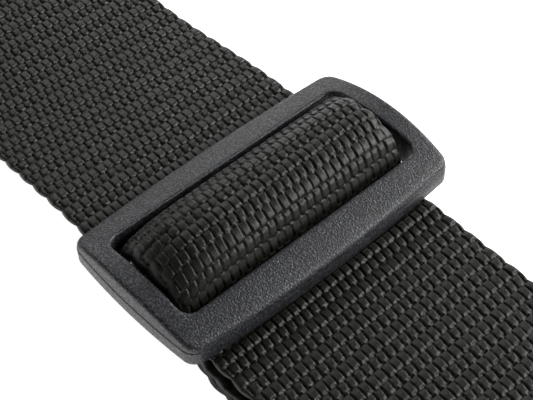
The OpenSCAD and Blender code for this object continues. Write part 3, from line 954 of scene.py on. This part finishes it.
# %% [markdown]
# ## The sewn end
#
# The webbing's cut end goes round the slider's centre bar and is sewn down on itself in front of
# the slider. It is one band: back along the table, up and round the bar, and forward again on
# top. In front of the slider it lies a little further out than the webbing that runs above it.

# %% Weave the sewn end
def turned_back(at, length):
    """The same route followed the other way."""
    def back(s):
        place, side, up = at(length - s)
        return place, -side, up
    return back


ASIDE_ON_BAR, ASIDE_IN_FRONT = 0.9, -1.1
SHIFT_FROM, SHIFT_OVER = 4, 14


def sewn_middle(x):
    """The sewn end's middle line: to the right on the bar, and to the left in front of it."""
    shift = (ASIDE_IN_FRONT - ASIDE_ON_BAR) * smooth((x - slider_x - SHIFT_FROM) / SHIFT_OVER)
    return strap_middle(x) + ASIDE_ON_BAR + shift


LOOP_RADIUS = BAR_RADIUS + CLEARANCE + PLY / 2
NECK_X, NECK_RADIUS, LOOP_OPENING = 2.8, 3.7, 30.3
sewn_points = [(lead_join, FLAT), (NECK_X, FLAT)] + arc(NECK_X, FLAT + NECK_RADIUS, NECK_RADIUS, 270, 180)
sewn_points += arc(0, bar_z, LOOP_RADIUS, 180 + LOOP_OPENING, -LOOP_OPENING)
sewn_points += arc(NECK_X, FLAT + NECK_RADIUS, NECK_RADIUS - PLY, 180, 270) + [(lead_join, FLAT + PLY)]
sewn_route, sewn_length = flat_route([(x + slider_x, z) for x, z in sewn_points], sewn_middle)

lower_low, lower_high = box_mm("webbing_lower_run")
turn_radius, TURN_LEAD = (ring_ply - FLAT) / 2, 6
turn_points = [(lower_high[0], ring_ply)]
turn_points += arc(lower_high[0] + TURN_LEAD, FLAT + turn_radius, turn_radius, 90, -90)
turn_route, turn_length = flat_route(turn_points + [(lower_high[0], FLAT)], strap_middle)
lower_route, lower_length = flat_route([(lower_high[0], FLAT), (lower_low[0], FLAT)], sewn_middle)
woven_before = running_length + turn_length + lower_length

sewn_band = weave_band("woven_sewn_end", sewn_route, 0, sewn_length, woven_before,
                       top=5, under=2, per_repeat=12)
lay_webbing(sewn_band, sewn_length, "floor", "slider_frame")
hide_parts("webbing_sewn_end")
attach(sewn_band, "sewn_end")

# %% [markdown]
# From the sewn end a lower ply goes on to the ring, turns round its rear bar and comes back as
# the upper ply. So the whole strap is a single length of webbing, and the weave runs on from one
# piece to the next.

# %% Weave the lower ply and the turn round the ring
lower_band = weave_band("woven_lower_run", lower_route, 0, lower_length,
                        running_length + turn_length, **COARSE)
lay_webbing(lower_band, lower_length, "floor")
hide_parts("webbing_lower_run")
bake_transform(lower_band)

turn_band = weave_band("woven_ring_turn", turn_route, 0, turn_length, running_length, **COARSE)
lay_webbing(turn_band, turn_length, "adjuster_ring")
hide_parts("webbing_ring_turn")
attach(turn_band, "ring_turn")

# %% [markdown]
# ## The hairpin and the return run
#
# Behind the slider the strap turns back on itself. Webbing can't bend in its own plane, so it
# rolls up onto its edge, goes round standing, and lies down again on the way back to the rear tab.

# %% Weave the hairpin
return_y = (return_low[1] + return_high[1]) / 2
HAIRPIN_RADIUS = return_y / 2
HAIRPIN_LEAD, TWIST_LENGTH = 60.0, 100.0
bend_length = math.pi * HAIRPIN_RADIUS
hairpin_length = 2 * HAIRPIN_LEAD + bend_length


def hairpin_route(s):
    """The hairpin: its place, the direction across it and the way its face looks."""
    on_bend = np.clip(s - HAIRPIN_LEAD, 0, bend_length)
    turned = on_bend / HAIRPIN_RADIUS
    roll = np.pi / 2 * smooth(s / TWIST_LENGTH) * smooth((hairpin_length - s) / TWIST_LENGTH)
    x = rear_low[0] - np.minimum(s, HAIRPIN_LEAD) - HAIRPIN_RADIUS * np.sin(turned)
    x = x + np.clip(s - HAIRPIN_LEAD - bend_length, 0, None)
    y = HAIRPIN_RADIUS * (1 - np.cos(turned))
    z = HALF_WIDTH * np.sin(roll) + FLAT * np.cos(roll)
    side = np.stack([-np.sin(turned), -np.cos(turned), 0 * turned], -1)
    upright = np.array([0.0, 0.0, 1.0])
    c, r = np.cos(roll)[:, None], np.sin(roll)[:, None]
    return np.stack([x, y, z], -1), side * c + upright * r, upright * c - side * r


def weave_still(names, node, at, length, phase):
    """Webbing that never moves, in two equal lengths."""
    for i, name in enumerate(names):
        band = weave_band(name, at, i * length / 2, (i + 1) * length / 2, phase, **COARSE)
        lay_webbing(band, length / 2, "floor")
        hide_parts(node)
        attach(band, "rear_strap")


weave_still(("woven_hairpin_outer", "woven_hairpin_inner"), "webbing_hairpin",
            turned_back(hairpin_route, hairpin_length), hairpin_length, -hairpin_length)

# %% [markdown]
# The return run lies flat, and climbs by the thickness of a leather just before the rear tab,
# where it goes in between the two leathers.

# %% Weave the return run
STEP_UP = 18
in_tab = return_high[2] - PLY / 2
rear_face_low, rear_face_high = box_mm("rear_tab_face")
tab_start = rear_face_low[0]
return_points = [(return_low[0], FLAT), (tab_start - STEP_UP, FLAT)]
return_points += slope(tab_start - STEP_UP, tab_start, FLAT, in_tab, 1.0)
return_points += [(tab_start, in_tab), (return_high[0], in_tab)]
return_route, return_length = flat_route(return_points, lambda x: return_y + 0 * x)
weave_still(("woven_return_run", "woven_return_run_far"), "webbing_return_run",
            turned_back(return_route, return_length), return_length, -hairpin_length - return_length)

# %% [markdown]
# ## The ring and the link
#
# The ring is a moulded rectangle of round bar. A small circle is extruded round the rectangle's
# middle line. A torus would have the wrong corners, and a bent cylinder needs a curve to follow.

# %% Shape the ring
RING_CORNER, RING_STEPS = 3.0, (8, 10, 4)
RING_BAR = (ring_high[2] - ring_low[2]) / 2
ring_z = (ring_high[2] + ring_low[2]) / 2
ring_x = (ring_high[0] + ring_low[0]) / 2
RING_HALF = ((ring_high[0] - ring_low[0]) / 2 - RING_BAR, (ring_high[1] - ring_low[1]) / 2 - RING_BAR)
ring_middle = whole(quarter_slot(*RING_HALF, RING_CORNER, RING_STEPS))
ring_rings = []
for x, y, nx, ny in ring_middle:
    a = np.radians(np.arange(0, 360, 15))
    out = RING_BAR * np.cos(a)
    ring_rings.append(np.column_stack([ring_x + x + nx * out, y + ny * out, ring_z + RING_BAR * np.sin(a)]))
ring = loft_rings("moulded_ring", ring_rings)
start_clean()
ring.select_set(True)
bpy.context.view_layer.objects.active = ring
bpy.ops.object.shade_smooth()
dress(ring, plastic_finish)
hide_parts("adjuster_ring")
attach(ring, "ring")
print("ring", len(ring.data.polygons), "faces")

# %% [markdown]
# The link is a short length of the same webbing. It goes round the ring's front bar, and both of
# its ends lie on each other inside the front tab, on the bottom leather.

# %% Weave the link
LEATHER = 1.4
link_bar_x = link_low[0] + turn_radius + PLY / 2
face_low, face_high = box_mm("front_tab_face")
front_start = face_low[0]
ply_low, ply_high = LEATHER + PLY / 2, LEATHER + PLY * 1.5
link_points = [(link_high[0], ply_low), (front_start, ply_low)]
link_points += slope(front_start, link_bar_x, ply_low, FLAT, -1.0)
link_points += arc(link_bar_x, ring_z, turn_radius, 270, 90)
link_points += slope(link_bar_x, front_start, ring_ply, ply_high, 1.0)
link_points += [(front_start, ply_high), (link_high[0], ply_high)]
link_route, link_webbing = flat_route(link_points, lambda x: 0 * x)
link_band = weave_band("woven_link", link_route, 0, link_webbing, **COARSE)
lay_webbing(link_band, link_webbing, "adjuster_ring")
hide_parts("front_link_webbing")
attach(link_band, "front_tab")

# %% [markdown]
# ## The leather tabs
#
# Each tab is two layers of leather with the webbing's end between them. The leather is cut to a
# shield with a keyhole for the button: a round hole and a short slit that lets the button pass.
# X is measured from the middle of the hole, so what lies towards the webbing is negative.

# %% Draw the tab's outline and its keyhole
TAB_TIP, TAB_CORNER, TAB_SHOULDER = 16.0, 5.0, -40.0
HOLE_RADIUS, SLIT_HALF, SLIT_END = 4.0, 0.6, -15.0
TAB_POINTS = 160
tab_reach = -front_start
tab_half = (face_high[1] - face_low[1]) / 2


def even_loop(corners, count):
    """Points at equal distances round a closed line, with the directions that look outwards."""
    p = np.array(corners + [corners[0]], float)
    far = np.r_[0, np.cumsum(np.linalg.norm(np.diff(p, axis=0), axis=1))]
    s = np.arange(count) * far[-1] / count
    xy = np.column_stack([np.interp(s, far, p[:, 0]), np.interp(s, far, p[:, 1])])
    way = np.roll(xy, -1, 0) - np.roll(xy, 1, 0)
    way /= np.linalg.norm(way, axis=1)[:, None]
    return np.column_stack([xy, -way[:, 1], way[:, 0]])


def tab_loop():
    """The tab's outline, from the middle of its straight end round by +Y."""
    half, reach = tab_half, tab_reach
    from_shoulder = math.acos(TAB_TIP / math.hypot(half, TAB_SHOULDER))
    touch = math.degrees(math.atan2(half, TAB_SHOULDER) - from_shoulder)
    corner = arc(TAB_CORNER - reach, half - TAB_CORNER, TAB_CORNER, 180, 90, 6)
    upper = [(-reach, 0)] + corner + [(TAB_SHOULDER, half)] + arc(0, 0, TAB_TIP, touch, 0, 3)
    return even_loop(upper + [(x, -y) for x, y in upper[::-1][1:-1]], TAB_POINTS)


def keyhole_loop():
    """The button hole and its slit, from the slit's end round by +Y."""
    meet = math.degrees(math.asin(SLIT_HALF / HOLE_RADIUS))
    upper = [(SLIT_END, 0), (SLIT_END, SLIT_HALF)] + arc(0, 0, HOLE_RADIUS, 180 - meet, 0, 6)
    return even_loop(upper + [(x, -y) for x, y in upper[::-1][1:-1]], TAB_POINTS)


tab_edge, keyhole_edge = tab_loop(), keyhole_loop()
print("tab", tab_edge[:, :2].min(0).round(1), tab_edge[:, :2].max(0).round(1))

# %% [markdown]
# The top layer lies over the webbing and then comes down onto the bottom one. The tab's outline
# is extruded inwards ring by ring to the keyhole, and each ring takes its height from that step,
# so the leather bends evenly. A flat plate with a few faces couldn't bend. The same function cuts
# the bottom layer, which stays flat.

# %% Cut a layer of leather
WEBBING_IN_TAB, STEP_LENGTH = 30, 9
TOP_RING_COUNT, UNDER_RING_COUNT = 38, 22
CUT_EDGE = ((-0.30, 0.0), (-0.09, 0.07), (0.0, 0.25), (0.0, 0.75), (-0.09, 0.93), (-0.30, 1.0))


def step_height(x, plies):
    """Height of the top layer's underside over some plies of webbing."""
    web_end = WEBBING_IN_TAB - tab_reach
    return LEATHER + plies * PLY * (1 - smooth((x - web_end) / STEP_LENGTH))


def leather_layer(name, hole, bottom):
    """A layer of leather round a button hole; bottom gives the height of its underside."""
    def raised(xy, up):
        return np.column_stack([xy, bottom(xy[:, 0]) + LEATHER * up])

    def between(ring, other, count, up):
        shares = np.linspace(0, 1, count + 2)[1:-1]
        return [raised(ring[:, :2] * (1 - share) + other[:, :2] * share, up) for share in shares]

    outer = [raised(tab_edge[:, :2] + tab_edge[:, 2:] * out, up) for out, up in CUT_EDGE]
    inner = [raised(keyhole_edge[:, :2] - keyhole_edge[:, 2:] * out, up) for out, up in CUT_EDGE[::-1]]
    rings = outer + between(outer[-1], inner[0], TOP_RING_COUNT, 1)
    rings += inner + between(inner[-1], outer[0], UNDER_RING_COUNT, 0)
    layer = loft_rings(name, [r + [hole[0], hole[1], 0] for r in rings])
    start_clean()
    layer.select_set(True)
    bpy.context.view_layer.objects.active = layer
    bpy.ops.object.shade_smooth_by_angle(angle=math.radians(40))
    dress(layer, leather_finish)
    return layer


TABS = {"front": ((0, 0), 2, "front_tab"), "rear": ((rear_face_high[0] - TAB_TIP, return_y), 1, "rear_strap")}
for end, (hole, plies, body) in TABS.items():
    face_layer = leather_layer(f"{end}_top_leather", hole, lambda x, n=plies: step_height(x, n))
    back_layer = leather_layer(f"{end}_bottom_leather", hole, lambda x: 0 * x)
    for layer, node, under in (
        (face_layer, f"{end}_tab_face", back_layer.name),
        (back_layer, f"{end}_tab_backing", "floor"),
    ):
        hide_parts(node)
        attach(layer, body)
        print(layer.name, len(layer.data.polygons), "faces")

# %% [markdown]
# ## The stitching
#
# A line of stitching is a row of separate stitches, as a sewing machine leaves them: each is a
# plump little bar, half sunk in the leather, with a gap where the thread goes down. One stitch is
# modelled, a short cylinder whose ends are extruded twice, smaller and lower each time.

# %% Model one stitch
THREAD_RADIUS, STITCH_MIDDLE = 0.42, 1.7
start_clean()
bpy.ops.mesh.primitive_cylinder_add(vertices=8, radius=THREAD_RADIUS * MM, depth=STITCH_MIDDLE * MM,
                                    rotation=(0, math.pi / 2, 0))
stitch = bpy.context.active_object
bpy.ops.object.transform_apply(location=True, rotation=True, scale=True)
bpy.ops.object.mode_set(mode="EDIT")
bpy.ops.mesh.select_mode(type="FACE")
for way in (-1, 1):
    bpy.ops.mesh.select_all(action="DESELECT")
    edit = bmesh.from_edit_mesh(stitch.data)
    for face in edit.faces:
        face.select_set(face.normal.x * way > 0.9)
    bmesh.update_edit_mesh(stitch.data)
    for step, scale, sink in ((0.32, 0.78, -0.05), (0.18, 0.5, -0.14)):
        bpy.ops.mesh.extrude_region_move(TRANSFORM_OT_translate={"value": (way * step * MM, 0, sink * MM)})
        bpy.ops.transform.resize(value=(1, scale, scale))
bpy.ops.object.mode_set(mode="OBJECT")
bpy.ops.object.shade_smooth()
stitch.name = "one_stitch"
print("one stitch", len(stitch.data.polygons), "faces")

# %% [markdown]
# The stitch is copied along every line, turned to follow it and tilted to lie on the surface, and
# the copies of a piece are joined.

# %% Sew along a line
STITCH_PITCH, GLANCE = 3.4, 0.5


def sew(name, lines, surface, node, body):
    """Copies of the stitch along lines of (x, y) points; surface gives the height at an x."""
    start_clean()
    made = []
    for line in lines:
        p = np.array(line, float)
        far = np.r_[0, np.cumsum(np.linalg.norm(np.diff(p, axis=0), axis=1))]
        count = max(1, int(round(far[-1] / STITCH_PITCH)))
        for s in (np.arange(count) + 0.5) * far[-1] / count:
            here, ahead, back = (np.array([np.interp(s + d, far, p[:, i]) for i in (0, 1)])
                                 for d in (0, GLANCE, -GLANCE))
            if s + GLANCE > far[-1]:
                ahead = 2 * here - back
            z, z_ahead = surface(here[0]), surface(ahead[0])
            along = Vector((ahead[0] - here[0], ahead[1] - here[1], z_ahead - z)).normalized()
            across = Vector((0, 0, 1)).cross(along).normalized()
            one = stitch.copy()
            one.data = stitch.data.copy()
            bpy.context.scene.collection.objects.link(one)
            turn = Matrix((along, across, along.cross(across))).transposed().to_4x4()
            one.matrix_world = Matrix.Translation(Vector((here[0], here[1], z)) * MM) @ turn
            one.select_set(True)
            made.append(one)
    bpy.context.view_layer.objects.active = made[0]
    bpy.ops.object.join()
    bpy.ops.object.transform_apply(location=True, rotation=True, scale=True)
    row = bpy.context.active_object
    row.name = row.data.name = name
    dress(row, thread_finish)
    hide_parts(node)
    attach(row, body)
    print(name, len(made), "stitches")


print("stitches", STITCH_PITCH, "mm apart")

# %% [markdown]
# Each tab has one line round its edge, and a box with a cross over the webbing's end. The folded
# end of the webbing has a smaller box, in front of the slider.

# %% Sew the tabs and the folded end
EDGE_INSET, BOX_LENGTH, BOX_WIDTH = 3.45, 19.1, 37.1
TACK_LENGTH, TACK_LEFT = 11.1, -1.5
THREAD_LIFT, TACK_SINK = 0.05, 0.1


def inset_line(loop, inset):
    """A loop drawn in from its edge, as a closed line of points."""
    xy = loop[:, :2] - loop[:, 2:] * inset
    return [tuple(p) for p in xy] + [tuple(xy[0])]


def crossed_box(x, length, width):
    """The lines of a box stitch: a rectangle and its two diagonals."""
    a, b = length / 2, width / 2
    corners = [(x - a, -b), (x - a, b), (x + a, b), (x + a, -b)]
    sides = [[corners[i], corners[(i + 1) % 4]] for i in range(4)]
    return sides + [[corners[0], corners[2]], [corners[1], corners[3]]]


def moved(line, dx, dy):
    """A line of (x, y) points, moved."""
    return [(x + dx, y + dy) for x, y in line]


for end, (hole, plies, body) in TABS.items():
    def on_top(x):
        return step_height(x - hole[0], plies) + LEATHER + THREAD_LIFT

    box = crossed_box(WEBBING_IN_TAB / 2 - tab_reach, BOX_LENGTH, BOX_WIDTH)
    sew(f"{end}_edge_stitching", [moved(inset_line(tab_edge, EDGE_INSET), *hole)], on_top,
        f"{end}_tab_edge_stitch", body)
    sew(f"{end}_box_stitching", [moved(line, *hole) for line in box], on_top, f"{end}_tab_box_stitch", body)

tack_low, tack_high = box_mm("sewn_end_bartack")
tack = crossed_box((tack_low[0] + tack_high[0]) / 2, TACK_LENGTH, BOX_WIDTH)
sew("bartack_stitching", [moved(line, 0, TACK_LEFT) for line in tack],
    lambda x: FLAT + PLY * 1.5 - TACK_SINK, "sewn_end_bartack", "sewn_end")
bpy.data.objects.remove(stitch, do_unlink=True)

# %% [markdown]
# Every CAD node now has a finer piece in its place. The nodes still get the same finishes, so
# that nothing is left plain.

# %% Give the CAD nodes their finishes
finish_of_slot = {"webbing": webbing_finish, "moulded_plastic": plastic_finish,
                  "leather": leather_finish, "thread": thread_finish}
slot_of_node = {part["node"]: part["material_slot"] for part in frame["record"]["subparts"]}
for node_object in frame["nodes"].values():
    node_object.data.materials.clear()
    node_object.data.materials.append(finish_of_slot[slot_of_node[node_object["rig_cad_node"]]])
